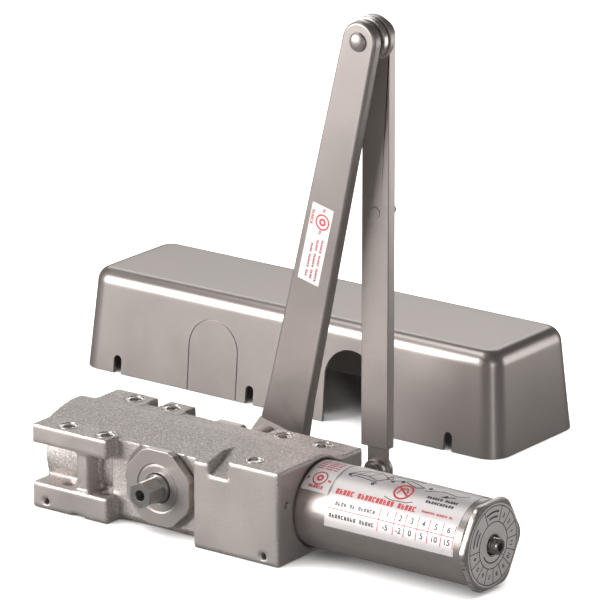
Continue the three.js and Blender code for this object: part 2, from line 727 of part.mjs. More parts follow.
function footBracket() {
  const { plate, halfLength, halfWidth: end, pinHeight, pin, screwHole } = foot;
  const earShape = new THREE.Shape();
  earShape.moveTo(-foot.ear, plate - 1);
  earShape.lineTo(foot.ear, plate - 1);
  earShape.lineTo(foot.ear, pinHeight);
  earShape.absarc(0, pinHeight, foot.ear, 0, Math.PI);
  const plateShape = new THREE.Shape();
  plateShape.absarc(halfLength - end, 0, end, -Math.PI / 2, Math.PI / 2);
  plateShape.absarc(-halfLength + end, 0, end, Math.PI / 2, (3 * Math.PI) / 2);
  const base = prism('z', plateShape, 0, plate);
  const ears = join(
    prism('y', earShape, -ear.gap - ear.thickness, -ear.gap),
    prism('y', earShape, ear.gap, ear.gap + ear.thickness),
  );
  return cut(join(base, ears),
    rod('y', pin + gap, -20, 20, [0, pinHeight], 18),
    rod('z', screwHole, -1, 10, [halfLength - end, 0], 16),
    rod('z', screwHole, -1, 10, [end - halfLength, 0], 16));
}

function footPin() {
  const outside = ear.gap + ear.thickness;
  return moved(join(rod('y', foot.pin, -outside - 1, outside + 2.6, [0, 0], 16),
    rod('y', 5.4, -outside - gap - 2, -outside - gap, [0, 0], 20)), 0, 0, foot.pinHeight);
}

function footClip() {
  const outside = ear.gap + ear.thickness + gap;
  return moved(ring('y', foot.pin + gap, 5.6, outside, outside + 1.2, [0, 0], 18),
    0, 0, foot.pinHeight);
}

// ---------------------------------------------------------------- sheet-metal cover

function roundedRectangle(halfX, halfY, radius) {
  const shape = new THREE.Shape();
  const quarter = Math.PI / 2;
  [[1, 1], [-1, 1], [-1, -1], [1, -1]].forEach(([sx, sy], i) => {
    shape.absarc(sx * (halfX - radius), sy * (halfY - radius), radius, i * quarter,
      (i + 1) * quarter);
  });
  return shape;
}

// A box with drafted sides and a rounded top edge; inset shrinks it all round.
function coverHull(inset, bottom) {
  const { length, width, height, corner, edge, draft } = cover;
  const top = height - inset;
  const round = edge - inset;
  const [halfX, halfY] = [length / 2 - inset, width / 2 - inset];
  const geometry = new THREE.ExtrudeGeometry(roundedRectangle(halfX, halfY, corner - inset), {
    depth: top - bottom - round, steps: 1, curveSegments: 6,
    bevelSize: round, bevelThickness: round, bevelOffset: -round, bevelSegments: 4,
  });
  geometry.translate(0, 0, bottom);
  const place = geometry.attributes.position;
  for (let i = 0; i < place.count; i += 1) {
    const z = Math.max(place.getZ(i), bottom);
    const lean = draft * z;
    place.setX(i, place.getX(i) * (1 - lean / halfX));
    place.setY(i, place.getY(i) * (1 - lean / halfY));
  }
  const floor = box(-length, length, -width, width, bottom - 20, bottom);
  return cut(solid(geometry), floor);
}

function archShape(centre, halfWidth, top) {
  const shape = new THREE.Shape();
  shape.moveTo(centre - halfWidth, -5);
  shape.lineTo(centre + halfWidth, -5);
  shape.lineTo(centre + halfWidth, top - halfWidth);
  shape.absarc(centre, top - halfWidth, halfWidth, 0, Math.PI);
  return shape;
}

const arch = { offset: 54.5, halfWidth: 20, top: 50, score: 0.7 };
const slots = { offsets: [24, 132], halfWidth: 3.2, top: 12 };

function coverShell() {
  const { width, wall, featureShift } = cover;
  const shell = cut(coverHull(0, 0), coverHull(wall, -2));
  const front = [-width / 2 - 1, -width / 2 + 14];
  const centres = slots.offsets.flatMap((at) => [featureShift - at, featureShift + at]);
  const slotCuts = centres.map((at) => prism('y', archShape(at, slots.halfWidth, slots.top),
    ...front));
  const opening = prism('y', archShape(featureShift + arch.offset, arch.halfWidth, arch.top),
    ...front);
  const scoreLine = cut(
    prism('y', archShape(featureShift - arch.offset, arch.halfWidth, arch.top), ...front),
    prism('y', archShape(featureShift - arch.offset, arch.halfWidth - arch.score,
      arch.top - arch.score), ...front),
    coverHull(0.5, -2),
  );
  return cut(shell, opening, scoreLine, ...slotCuts);
}

// ---------------------------------------------------------------- the assembly

add('body_casting', bodyCasting(), 'castMetal');
add('cylinder_end_plug', endPlug(), 'steel');
add('end_plug_seal', endPlugSeal(), 'rubber');
addBearings();
add('pinion_shaft', pinionShaft(), 'steel');
add('piston', pistonBody(), 'steel');
add('piston_seal', ring('x', piston.radius - 2, bore.radius - 0.15, piston.sealAt + gap,
  piston.sealAt + piston.sealWidth - gap, onAxis, 48), 'rubber');
add('check_valve_ball', checkBall(), 'steel');
add('check_valve_retainer', ring('x', 1.5, 3.1, piston.left + 0.5, piston.left + 3, onAxis, 24),
  'brass');
add('spring_follower', springFollower(), 'steel');
add('outer_spring', coilSpring(16.2, 2.1, 9, follower.to + gap, seat.from - gap, 12),
  'springSteel');
add('inner_spring', coilSpring(10.2, 1.3, 12, follower.to + 4 + gap, seat.from - gap, 10),
  'springSteel');
addSpringEnd();
addValves();

const lean = THREE.MathUtils.degToRad(arm.lean);
const elbow = { x: arm.length * Math.sin(lean), z: axisHeight + arm.length * Math.cos(lean) };

const armGroup = new THREE.Group();
armGroup.position.set(0, arm.frontY, axisHeight);
group.add(armGroup);
add('main_arm', mainArm(), 'paintedMetal', armGroup);

const hubGroup = new THREE.Group();
hubGroup.position.set(0, 0, axisHeight);
group.add(hubGroup);
add('arm_washer', ring('y', armScrewHole, 10.5, hubRear + gap, hubRear + gap + armWasher), 'steel',
  hubGroup);
add('arm_screw', armScrew(), 'darkSteel', hubGroup);

const elbowGroup = new THREE.Group();
elbowGroup.position.set(elbow.x, 0, elbow.z);
group.add(elbowGroup);
const discFront = arm.frontY + arm.thickness + gap;
add('elbow_rivet', elbowRivet(), 'machinedMetal', elbowGroup);
const discDepth = 4.2;
const spacerFront = discFront + discDepth + gap;
add('elbow_disc', ring('y', arm.eye, 13.5, discFront, discFront + discDepth), 'machinedMetal',
  elbowGroup);
add('elbow_spacer', ring('y', arm.eye, 9.5, spacerFront, spacerFront + 0.9), 'rubber', elbowGroup);

const forearmGroup = new THREE.Group();
forearmGroup.position.set(elbow.x, forearm.frontY, elbow.z);
group.add(forearmGroup);
add('forearm_channel', forearmChannel(), 'paintedMetal', forearmGroup);
add('forearm_bar', forearmBar(), 'paintedMetal', forearmGroup);
add('forearm_lock_screw', lockScrew(), 'steel', forearmGroup);
const washerFront = forearm.wall + bar.thickness + 2 * gap;
add('lock_screw_washer', moved(ring('y', 3.2, 6.6, washerFront, washerFront + 1.2), 0, 0,
  -forearm.screwAt), 'steel', forearmGroup);

const footGroup = new THREE.Group();
footGroup.position.set(elbow.x, forearm.frontY + barMiddleY, 0);
group.add(footGroup);
add('foot_bracket', footBracket(), 'paintedMetal', footGroup);
add('foot_pin', footPin(), 'steel', footGroup);
add('foot_pin_clip', footClip(), 'darkSteel', footGroup);

const coverGroup = new THREE.Group();
coverGroup.position.set(cover.centreX, cover.centreY, 0);
group.add(coverGroup);
add('cover', coverShell(), 'paintedMetal', coverGroup);

export default group;
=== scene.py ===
"""Studio view of a surface door closer that lies on its mounting face, its cover taken off behind it.

The loaded model is the frame. This script gives it its rough casting, its smooth pressed and turned
parts, its printed labels and its finishes. The object's lengths are in millimetres, and MM turns
them into the scene's metres. The studio at the end is in metres.
"""

import math

import bmesh
import bpy
from mathutils import Matrix, Vector, noise


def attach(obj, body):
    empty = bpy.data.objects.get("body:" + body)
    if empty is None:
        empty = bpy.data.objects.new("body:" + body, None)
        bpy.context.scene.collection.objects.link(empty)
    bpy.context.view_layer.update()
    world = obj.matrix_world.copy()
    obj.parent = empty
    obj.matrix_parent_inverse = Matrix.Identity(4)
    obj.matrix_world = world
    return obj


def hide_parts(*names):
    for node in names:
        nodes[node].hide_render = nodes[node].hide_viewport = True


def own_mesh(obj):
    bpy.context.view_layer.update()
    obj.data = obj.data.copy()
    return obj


MM = 0.001
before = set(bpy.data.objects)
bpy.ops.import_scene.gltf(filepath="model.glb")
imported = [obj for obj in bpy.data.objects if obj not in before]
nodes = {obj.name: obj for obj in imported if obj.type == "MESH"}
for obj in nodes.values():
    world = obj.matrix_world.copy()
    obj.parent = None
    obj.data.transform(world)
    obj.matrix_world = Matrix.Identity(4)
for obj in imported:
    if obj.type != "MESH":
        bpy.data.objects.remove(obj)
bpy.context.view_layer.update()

AXIS_Z = 29.0  # height of the cylinder and pinion axes
AXIS_CENTRE = (0, 0, AXIS_Z)

# ---------------------------------------------------------------- materials


class Finish:
    """A material under construction: its nodes, and short ways to add and join them."""

    def __init__(self, name, **shader_values):
        self.material = bpy.data.materials.new(name)
        self.material.use_nodes = True
        self.tree = self.material.node_tree
        self.shader = self.tree.nodes["Principled BSDF"]
        for socket, value in shader_values.items():
            self.shader.inputs[socket.replace("_", " ")].default_value = value
        self.place = self.add("ShaderNodeTexCoord").outputs["Object"]

    def add(self, kind, sockets=None, **settings):
        node = self.tree.nodes.new(kind)
        for key, value in settings.items():
            setattr(node, key, value)
        for key, value in (sockets or {}).items():
            if isinstance(value, bpy.types.NodeSocket):
                self.tree.links.new(value, node.inputs[key])
            else:
                node.inputs[key].default_value = value
        return node

    def stretched(self, scale=(1, 1, 1), location=(0, 0, 0)):
        sockets = {"Vector": self.place, "Scale": scale, "Location": location}
        return self.add("ShaderNodeMapping", sockets).outputs["Vector"]

    def noise(self, scale, detail=3, rough=0.55, vector=None):
        sockets = {"Vector": vector or self.place, "Scale": scale, "Detail": detail, "Roughness": rough}
        return self.add("ShaderNodeTexNoise", sockets).outputs["Fac"]

    def math(self, operation, a, b):
        return self.add("ShaderNodeMath", {0: a, 1: b}, operation=operation).outputs[0]

    def blend(self, a, b, share):
        """A share of a and the rest of b."""
        return self.math("ADD", self.math("MULTIPLY", a, share), self.math("MULTIPLY", b, 1 - share))

    def between(self, factor, low, high, start=0.3, end=0.7):
        sockets = {"Value": factor, "From Min": start, "From Max": end, "To Min": low, "To Max": high}
        return self.add("ShaderNodeMapRange", sockets).outputs["Result"]

    def ramp(self, factor, stops):
        node = self.add("ShaderNodeValToRGB", {"Fac": factor})
        elements = node.color_ramp.elements
        while len(elements) < len(stops):
            elements.new(0.5)
        for element, (position, colour) in zip(elements, stops):
            element.position = position
            element.color = (*colour, 1)
        return node.outputs["Color"]

    def mix(self, factor, a, b):
        node = self.add("ShaderNodeMix", {"Factor": factor}, data_type="RGBA")
        colour_a, colour_b = node.inputs[6], node.inputs[7]
        for socket, value in ((colour_a, a), (colour_b, b)):
            if isinstance(value, bpy.types.NodeSocket):
                self.tree.links.new(value, socket)
            else:
                socket.default_value = (*value, 1)
        return node.outputs[2]

    def bump(self, height, strength, distance):
        sockets = {"Height": height, "Strength": strength, "Distance": distance}
        self.to("Normal", self.add("ShaderNodeBump", sockets).outputs["Normal"])

    def to(self, socket, value):
        self.tree.links.new(value, self.shader.inputs[socket])


def shade(colour, factor):
    return tuple(min(1.0, channel * factor) for channel in colour)


def satin(name, colour, metallic=0.75, roughness=0.4, grain=1400, cloud=16, spread=0.12, bump=0.12,
          stretch=(1, 1, 1)):
    """Paint or plain metal: a fine grain over a slow cloud, in colour, gloss and height."""
    finish = Finish(name, Metallic=metallic)
    vector = finish.stretched(stretch)
    fine = finish.noise(grain, 2, 0.6, vector)
    slow = finish.noise(cloud, 4, 0.6)
    both = finish.blend(fine, slow, 0.55)
    stops = [(0.3, shade(colour, 1 - spread)), (0.5, colour), (0.7, shade(colour, 1 + spread))]
    finish.to("Base Color", finish.ramp(both, stops))
    finish.to("Roughness", finish.between(both, roughness - 0.06, roughness + 0.06))
    finish.bump(fine, bump, 0.05 * MM)
    return finish.material


def turned_metal(name, colour, axis, metallic=0.9, roughness=0.3, pitch=0.9):
    """Lathe-turned metal: faint rings around an axis through the pinion's centre."""
    finish = Finish(name, Metallic=metallic)
    centred = finish.stretched(location=(0, 0, -AXIS_Z * MM))
    rings = finish.add(
        "ShaderNodeTexWave",
        {"Vector": centred, "Scale": 2 * math.pi / (20 * pitch * MM), "Distortion": 0.8, "Detail": 2},
        wave_type="RINGS", rings_direction=axis,
    ).outputs["Fac"]
    grain = finish.noise(1100, 2)
    both = finish.blend(rings, grain, 0.4)
    stops = [(0.25, shade(colour, 0.92)), (0.75, shade(colour, 1.08))]
    finish.to("Base Color", finish.ramp(both, stops))
    finish.to("Roughness", finish.between(both, roughness - 0.06, roughness + 0.08))
    finish.bump(both, 0.12, 0.03 * MM)
    return finish.material


def cast_metal():
    """The body: rough paint where its attribute says cast, smooth machined faces elsewhere."""
    finish = Finish("cast_body_finish", Metallic=0.78)
    cast = finish.add("ShaderNodeAttribute", attribute_name="cast").outputs["Fac"]
    grit = finish.noise(1900, 3, 0.7)
    grain = finish.noise(760, 3, 0.65)
    cloud = finish.noise(22, 3)
    lumps = finish.blend(grit, grain, 0.5)
    # On the cast skin the colour follows the same grain as the bump. The grain gives its own tone, and on
    # top of it the low pits are darker as painted shade and the high peaks lighter as a painted
    # highlight.
    pit_shade, skin, peak_highlight = (0.27, 0.238, 0.22), (0.47, 0.425, 0.40), (0.78, 0.72, 0.685)
    rough_colour_and_shade = finish.ramp(lumps, [(0.34, pit_shade), (0.5, skin), (0.64, peak_highlight)])
    smooth_colour = finish.ramp(cloud, [(0.3, (0.36, 0.325, 0.305)), (0.7, (0.45, 0.405, 0.38))])
    finish.to("Base Color", finish.mix(cast, smooth_colour, rough_colour_and_shade))
    smooth_gloss = finish.between(cloud, 0.40, 0.48)
    rough_gloss = finish.between(lumps, 0.55, 0.34)
    difference = finish.math("SUBTRACT", rough_gloss, smooth_gloss)
    gloss = finish.math("ADD", smooth_gloss, finish.math("MULTIPLY", cast, difference))
    finish.to("Roughness", gloss)
    height = finish.math("MULTIPLY", lumps, finish.math("ADD", cast, 0.06))
    finish.bump(height, 0.9, 0.5 * MM)
    return finish.material


def printed(name, colour, spread=0.04, roughness=0.5):
    return satin(name, colour, metallic=0, roughness=roughness, grain=2500, spread=spread, bump=0.05)


PAINT = (0.40, 0.355, 0.335)

CAST = cast_metal()
# The body's paint darkened to 0.84 as painted shade, for the main arm, its rivet and the foot bracket.
SHADED_ARM_PAINT = satin("shaded_arm_paint", shade(PAINT, 0.84), 0.8, 0.38)
# The body's paint darkened to 0.92 as painted shade on the cover.
SHADED_COVER_PAINT = satin("shaded_cover_paint", shade(PAINT, 0.92), 0.82, 0.34, spread=0.07, bump=0.08)
# The body's paint lightened to 1.05 as painted light on the spring tube.
LIT_TUBE_PAINT = satin("lit_tube_paint", shade(PAINT, 1.05), 0.85, 0.34, stretch=(0.08, 1, 1), spread=0.1)
FOREARM_PAINT = satin("forearm_paint", PAINT, 0.8, 0.4)
STEEL = satin("plain_steel", (0.46, 0.44, 0.42), 0.95, 0.3)
SCREW_STEEL = satin("adjusting_screw_steel", (0.36, 0.335, 0.315), 0.92, 0.3)
DARK_STEEL = satin("dark_steel_finish", (0.20, 0.185, 0.175), 0.9, 0.36)
SPRING = satin("drawn_spring_wire", (0.11, 0.105, 0.10), 0.9, 0.38, grain=700)
BRASS = turned_metal("turned_brass", (0.58, 0.40, 0.15), "Y")
RUBBER = satin("seal_rubber_finish", (0.016, 0.015, 0.014), 0, 0.75, grain=900, spread=0.3)
MACHINED = turned_metal("machined_nut", (0.47, 0.425, 0.40), "Y", 0.85, 0.36)
CAP_METAL = turned_metal("machined_cap", (0.47, 0.425, 0.40), "X", 0.85, 0.33)
DISC_METAL = satin("elbow_disc_finish", (0.55, 0.51, 0.48), 0.9, 0.27, spread=0.08)
PAPER = printed("label_paper", (0.60, 0.565, 0.56), roughness=0.42)
FOIL = satin("chart_foil", (0.56, 0.525, 0.52), 0.5, 0.42, grain=2500, spread=0.05, bump=0.04)
PLATE = satin("dial_plate_finish", (0.47, 0.44, 0.425), 0.45, 0.42, spread=0.06, bump=0.05)
BRIGHT = satin("bright_counterbore", (0.62, 0.58, 0.55), 0.9, 0.24, spread=0.08)
RED = printed("red_print", (0.50, 0.045, 0.05))
BLACK = printed("black_print", (0.03, 0.027, 0.027), 0.2)

# ---------------------------------------------------------------- making pieces


def in_scene(name, data):
    """A new object, linked to the scene."""
    piece = bpy.data.objects.new(name, data)
    bpy.context.scene.collection.objects.link(piece)
    return piece


def link(name, mesh, material, body, stands_for=(), smooth_angle=38):
    """Adds a piece that rides on a body, shaded smooth up to an angle, and hides what it stands for."""
    for extra in ("custom_normal", "sharp_face"):
        if extra in mesh.attributes:
            mesh.attributes.remove(mesh.attributes[extra])
    mesh.materials.clear()
    mesh.materials.append(material)
    mesh.polygons.foreach_set("use_smooth", [True] * len(mesh.polygons))
    mesh.set_sharp_from_angle(angle=math.radians(smooth_angle))
    piece = in_scene(name, mesh)
    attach(piece, body)
    if stands_for:
        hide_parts(*stands_for)
    return piece


def evaluated_mesh(mesh, modifiers):
    """A mesh after a list of (modifier type, settings), as a mesh of its own."""
    worker = in_scene("worker", mesh)
    for kind, settings in modifiers:
        modifier = worker.modifiers.new(kind.lower(), kind)
        for key, value in settings.items():
            setattr(modifier, key, value)
    graph = bpy.context.evaluated_depsgraph_get()
    result = bpy.data.meshes.new_from_object(worker.evaluated_get(graph))
    bpy.data.objects.remove(worker)
    return result


def merged_copy(node):
    """A node's faces as a bmesh, with shared corners."""
    work = bmesh.new()
    work.from_mesh(nodes[node].data)
    bmesh.ops.remove_doubles(work, verts=work.verts, dist=2e-6)
    return work


def finished(work, name):
    """Turns a bmesh into a mesh, with all of its faces looking outwards."""
    mesh = bpy.data.meshes.new(name)
    bmesh.ops.recalc_face_normals(work, faces=work.faces)
    work.to_mesh(mesh)
    work.free()
    return mesh


def refined(node, material, body, width=0.35, sharp=32, segments=3, smooth_angle=38):
    """A part of the frame with its sharp edges rounded off and its faces smoothly shaded."""
    work = merged_copy(node)
    bmesh.ops.dissolve_limit(work, angle_limit=math.radians(0.6), verts=work.verts, edges=work.edges)
    limit = math.radians(sharp)
    edges = [e for e in work.edges if len(e.link_faces) == 2 and e.calc_face_angle() > limit]
    bmesh.ops.bevel(work, geom=edges, offset=width * MM, segments=segments, profile=0.5,
                    affect="EDGES", clamp_overlap=False)
    bmesh.ops.dissolve_degenerate(work, dist=1e-6, edges=work.edges)
    mesh = finished(work, node + "_shape")
    piece = link(node + "_piece", mesh, material, body, (node,), smooth_angle)
    weighted = piece.modifiers.new("even_faces", "WEIGHTED_NORMAL")
    weighted.keep_sharp = True
    return piece


def add_rings(work, rings, closed=True):
    """Joins rings of points into a tube of quads, and from the last ring to the first if closed."""
    loops = [[work.verts.new(point) for point in ring] for ring in rings]
    pairs = list(zip(loops, loops[1:]))
    if closed:
        pairs.append((loops[-1], loops[0]))
    for lower, upper in pairs:
        count = len(lower)
        for i in range(count):
            j = (i + 1) % count
            work.faces.new((lower[i], lower[j], upper[j], upper[i]))
    return loops


def add_capped_tube(work, rings):
    """Joins rings of points into a tube and closes both of its ends."""
    loops = add_rings(work, rings, closed=False)
    work.faces.new(loops[0])
    work.faces.new(loops[-1])


def round_angles(count):
    return [2 * math.pi * i / count for i in range(count)]


def lathe(name, axis, profile, centre, material, body, stands_for, segments=96, wobble=None):
    """A turned part. The profile is a closed list of (radius, distance along the axis) in order."""
    work = bmesh.new()
    rings = []
    for radius, distance in profile:
        ring = []
        for angle in round_angles(segments):
            r = wobble(radius, angle) if wobble else radius
            u, v = r * math.cos(angle), r * math.sin(angle)
            point = {"x": (distance, u, v), "y": (u, distance, v), "z": (u, v, distance)}[axis]
            ring.append(Vector(point) * MM + Vector(centre) * MM)
        rings.append(ring)
    hollow = profile[0][0] > 0 or profile[-1][0] > 0
    if hollow:
        add_rings(work, rings)
    else:
        add_capped_tube(work, rings[1:-1])
    return link(name, finished(work, name + "_shape"), material, body, stands_for)


def rounded(profile, radius=0.4, steps=3):
    """A closed (radius, distance) outline with every corner rounded off."""
    points = []
    count = len(profile)
    for i in range(count):
        before, here, after = (Vector(profile[(i + k) % count]) for k in (-1, 0, 1))
        back, ahead = before - here, after - here
        reach = min(radius, back.length * 0.45, ahead.length * 0.45)
        start = here + back.normalized() * reach
        end = here + ahead.normalized() * reach
        for k in range(steps + 1):
            t = k / steps
            points.append(tuple(start * (1 - t) ** 2 + here * 2 * t * (1 - t) + end * t**2))
    return points


# ---------------------------------------------------------------- cast body

FACE_Y = 42.3
RECESS_Y = 31.5
BODY_LEFT, BODY_RIGHT = -92.5, 94.0
BLOCK_TOP = 58.4  # top of the valve block
SOCKET_REACH = 27.3  # around the cylinder's bores
PINION_REACH = 18.2  # around the pinion's bore
MACHINED_CIRCLE = 27.6  # around the bearing nuts
LUG_TOP, FLANGE_TOP = 53, 52  # at the left and behind the valve block
LUG_GAP = (17, 40)  # heights between the lugs' plates
SPOT_FACES = [(-42.5, -32.4), (-42.5, 32.4), (-71.5, -32.4), (-71.5, 32.4), (42.5, 32.4),
              (71.5, 32.4)]
SPOT_RADIUS = 6.4
BACKCHECK = (67.6, -29.8)
BACKCHECK_RADIUS = 5.4


def on_recess(place, normal):
    """Whether a point is on one of the recessed faces around the pinion."""
    return abs(abs(place.y) - RECESS_Y) < 0.9 and abs(normal.y) > 0.5


def roughness_at(place, normal):
    """How rough the casting is at a point: 1 on cast skin, 0 on machined faces and in bores."""
    x, y, z = place
    if abs(y) > FACE_Y - 0.5 and abs(normal.y) > 0.75:
        return 0.12
    if (x < BODY_LEFT + 0.5 or x > BODY_RIGHT - 0.5) and abs(normal.x) > 0.75:
        return 0.1
    if z < 0.5 and normal.z < -0.75:
        return 0.0
    if math.hypot(y, z - AXIS_Z) < SOCKET_REACH and abs(y) < SOCKET_REACH:
        return 0.0
    from_pinion = math.hypot(x, z - AXIS_Z)
    if from_pinion < PINION_REACH:
        return 0.0
    if on_recess(place, normal):
        return 0.05 if from_pinion < MACHINED_CIRCLE else 0.8
    if abs(y) > RECESS_Y + 2 and LUG_GAP[0] < z < LUG_GAP[1] and abs(normal.z) < 0.5:
        return 0.3
    if z > FLANGE_TOP - 3 and any(math.hypot(x - a, y - b) < SPOT_RADIUS for a, b in SPOT_FACES):
        return 0.0
    if math.hypot(x - BACKCHECK[0], y - BACKCHECK[1]) < BACKCHECK_RADIUS and z > AXIS_Z + 1:
        return 0.0
    return 1.0


VOXEL = 1.12
GRAIN_HEIGHT, SWELL_HEIGHT = 0.09, 0.2
MACHINED_DEPTH = 0.3  # of the circle around each bearing nut
OTHER_PLACE = Vector((7, 3, 5))  # shifts the second noise away from the first


def cast_body():
    """The casting, remeshed finely enough for its sand-cast skin to be real relief."""
    solid = finished(merged_copy("body_casting"), "casting_solid")
    dense = evaluated_mesh(solid, [
        ("REMESH", {"mode": "VOXEL", "voxel_size": VOXEL * MM, "use_smooth_shade": True}),
        ("SMOOTH", {"factor": 0.4, "iterations": 1}),
    ])
    places = [vertex.co / MM for vertex in dense.vertices]
    normals = [vertex.normal.copy() for vertex in dense.vertices]
    levels, moved = [], []
    for place, normal in zip(places, normals):
        level = roughness_at(place, normal)
        levels.append(level)
        grain = noise.noise(place * 0.62) + noise.noise(place * 0.33 + OTHER_PLACE)
        swell = noise.noise(place * 0.075)
        lift = level * (grain * GRAIN_HEIGHT + swell * SWELL_HEIGHT)
        if on_recess(place, normal) and math.hypot(place.x, place.z - AXIS_Z) < MACHINED_CIRCLE:
            lift = -MACHINED_DEPTH
        moved.extend((place + normal * lift) * MM)
    dense.vertices.foreach_set("co", moved)
    dense.update()
    attribute = dense.attributes.new("cast", "FLOAT", "POINT")
    attribute.data.foreach_set("value", levels)
    return link("body_casting_piece", dense, CAST, "closer_body", ("body_casting",), 60)


def spot_faces():
    """The bright counterbored seats around the mounting holes and the backcheck valve."""
    hole, seat = 3.7, 6.3
    for number, (x, y) in enumerate(SPOT_FACES):
        top = LUG_TOP if x < 0 else FLANGE_TOP
        outline = [(hole, top - 2.4), (seat, top - 2.4), (seat, top + 0.1), (5.8, top + 0.15),
                   (5.1, top - 0.35), (hole, top - 0.5)]
        lathe(f"spot_face_{number}", "z", rounded(outline, 0.15, 2), (x, y, 0), BRIGHT, "closer_body",
              (), 48)
    inner, outer, bottom = 4.3, 5.6, BLOCK_TOP - 1.2
    ring = [(inner, bottom), (outer, bottom), (outer, BLOCK_TOP + 0.35), (4.9, BLOCK_TOP + 0.5),
            (inner, BLOCK_TOP + 0.2)]
    lathe("backcheck_rim", "z", rounded(ring, 0.2, 2), (*BACKCHECK, 0), BRIGHT, "closer_body",
          (), 48)


# ---------------------------------------------------------------- spring tube and its end

TUBE_RADIUS = 26.4
TUBE_START, TUBE_END = 84.3, 213.5
CAP_FACE = 218.0
CAP_CORNER = 28.9
CAP_SWELL_START = 24.5  # the cap is round inside this radius


def spring_tube():
    """The plain tube around the springs, its edges a little rounded."""
    inner = TUBE_RADIUS - 2
    outline = [(TUBE_RADIUS, TUBE_START), (TUBE_RADIUS, TUBE_END), (inner, TUBE_END),
               (inner, TUBE_START)]
    lathe("spring_tube_piece", "x", rounded(outline, 0.5), AXIS_CENTRE, LIT_TUBE_PAINT, "closer_body",
          ("spring_tube",), 128)


def cap_outline(radius, angle):
    """Swells a radius near the cap's rim into six rounded corners."""
    if radius < CAP_SWELL_START:
        return radius
    swell = abs(math.cos(3 * angle)) ** 3
    return radius + (CAP_CORNER - TUBE_RADIUS - 0.1) * swell


def end_cap():
    """The six-cornered cap: a spigot in the tube, a rounded flange and a recess for the screw."""
    rim, spigot, hollow, recess, hole = TUBE_RADIUS + 0.1, 24.1, 19, 9, 5.3
    flange_back, recess_floor, web_back, spigot_end = CAP_FACE - 4.2, 215, 209, 203
    outline = [(hole, web_back), (hole, recess_floor), (recess, recess_floor), (recess, CAP_FACE),
               (rim, CAP_FACE), (rim, flange_back), (spigot, flange_back), (spigot, spigot_end),
               (hollow, spigot_end), (hollow, web_back)]
    lathe("tube_end_cap_piece", "x", rounded(outline, 0.9), AXIS_CENTRE, CAP_METAL, "closer_body",
          ("tube_end_cap",), 144, cap_outline)


def adjusting_screw():
    """The power adjusting screw with a real rolled thread where it shows, and a hexagon socket."""
    radius, pitch, inner, tip = 5.0, 1.75, 150.0, 223.5
    collar, collar_start, collar_end, thread_start = 8.6, 203, 207, 211.0
    root, crest, shank = radius - 0.75, radius - 0.05, radius - 0.1
    profile = [(radius - 0.8, inner), (shank, inner + 1), (shank, collar_start),
               (collar, collar_start + 0.3), (collar, collar_end - 0.3), (shank, collar_end)]
    place = thread_start
    while place < tip - 1.6:
        profile += [(crest, place), (crest, place + 0.25), (root, place + 0.85), (root, place + 1.05)]
        place += pitch
    profile += [(radius - 0.15, tip - 0.7), (radius - 0.7, tip)]

    segments = 48
    angles = round_angles(segments)
    outlines = [(distance, [r] * segments) for r, distance in profile]
    half_flats = 2.9 * math.cos(math.pi / 6)
    sixth = math.pi / 3
    socket = [half_flats / math.cos((angle + sixth / 2) % sixth - sixth / 2) for angle in angles]
    outlines += [(tip - 0.1, socket), (tip - 5.5, socket)]
    rings = [[Vector((distance, r * math.cos(angle), r * math.sin(angle) + AXIS_Z)) * MM
              for r, angle in zip(radii, angles)] for distance, radii in outlines]
    work = bmesh.new()
    add_capped_tube(work, rings)
    link("adjusting_screw_piece", finished(work, "adjusting_screw_shape"), SCREW_STEEL, "power_screw",
         ("adjusting_screw",), 30)


# ---------------------------------------------------------------- springs

PISTON_TRAVEL, SEAT_TRAVEL = 16.9, 26.25
SPRING_END = 185.7  # the springs' end at the seat


def coil(name, mean, wire, turns, start, end, first, last):
    """Part of a helix of round wire along x, from one share of its length to another."""
    work = bmesh.new()
    steps = math.ceil(turns * (last - first) * 32)
    rings = []
    for i in range(steps + 1):
        t = first + (last - first) * i / steps
        angle = 2 * math.pi * turns * t
        outward = Vector((0, math.cos(angle), math.sin(angle)))
        centre = Vector((start + wire + (end - start - 2 * wire) * t, 0, AXIS_Z)) + outward * mean
        ring = [centre + outward * wire * math.cos(a) + Vector((wire * math.sin(a), 0, 0))
                for a in round_angles(14)]
        rings.append([point * MM for point in ring])
    add_capped_tube(work, rings)
    return finished(work, name + "_shape")


def springs():
    """Both power springs, each built in two halves: one on the piston's side, one on the seat's side."""
    halves = (("piston_side", 0, 0.5, "piston_travel", PISTON_TRAVEL),
              ("seat_side", 0.5, 1, "spring_seat_travel", SEAT_TRAVEL))
    for node, mean, wire, turns, start in (("outer_spring", 16.2, 2.1, 9, 63.6),
                                           ("inner_spring", 10.2, 1.3, 12, 67.6)):
        for side, first, last, joint, travel in halves:
            name = node + "_" + side
            mesh = coil(name, mean, wire, turns, start, SPRING_END, first, last)
            piece = link(name, mesh, SPRING, "closer_body", (node,))
            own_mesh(piece)


# ---------------------------------------------------------------- printing on surfaces


def around_tube(radius):
    """Maps (distance along the tube, degrees above the front, height) onto the spring tube."""

    def place(u, v, height):
        angle = math.radians(v)
        r = radius + height
        return Vector((u, -r * math.cos(angle), AXIS_Z + r * math.sin(angle))) * MM

    return place


def wall_ring(place, a, b, low, high):
    """Four points over a surface, above a and b, each (u, v), at a low and at a high level."""
    return [place(*a, low), place(*b, low), place(*b, high), place(*a, high)]


def slab(work, place, u0, u1, v0, v1, low, high, step):
    """A thin block over part of a surface, divided along v so that it follows a curve."""
    count = max(1, math.ceil(abs(v1 - v0) / step))
    levels = [v0 + (v1 - v0) * i / count for i in range(count + 1)]
    add_capped_tube(work, [wall_ring(place, (u0, v), (u1, v), low, high) for v in levels])


def annulus(work, place, u, v, inner, outer, low, high, ratio=1.0, segments=40):
    """A flat ring over a surface. ratio turns a length into the surface's own v unit."""
    rings = []
    for angle in round_angles(segments):
        c, s = math.cos(angle), math.sin(angle) * ratio
        inside = (u + inner * c, v + inner * s)
        outside = (u + outer * c, v + outer * s)
        rings.append(wall_ring(place, inside, outside, low, high))
    add_rings(work, rings)


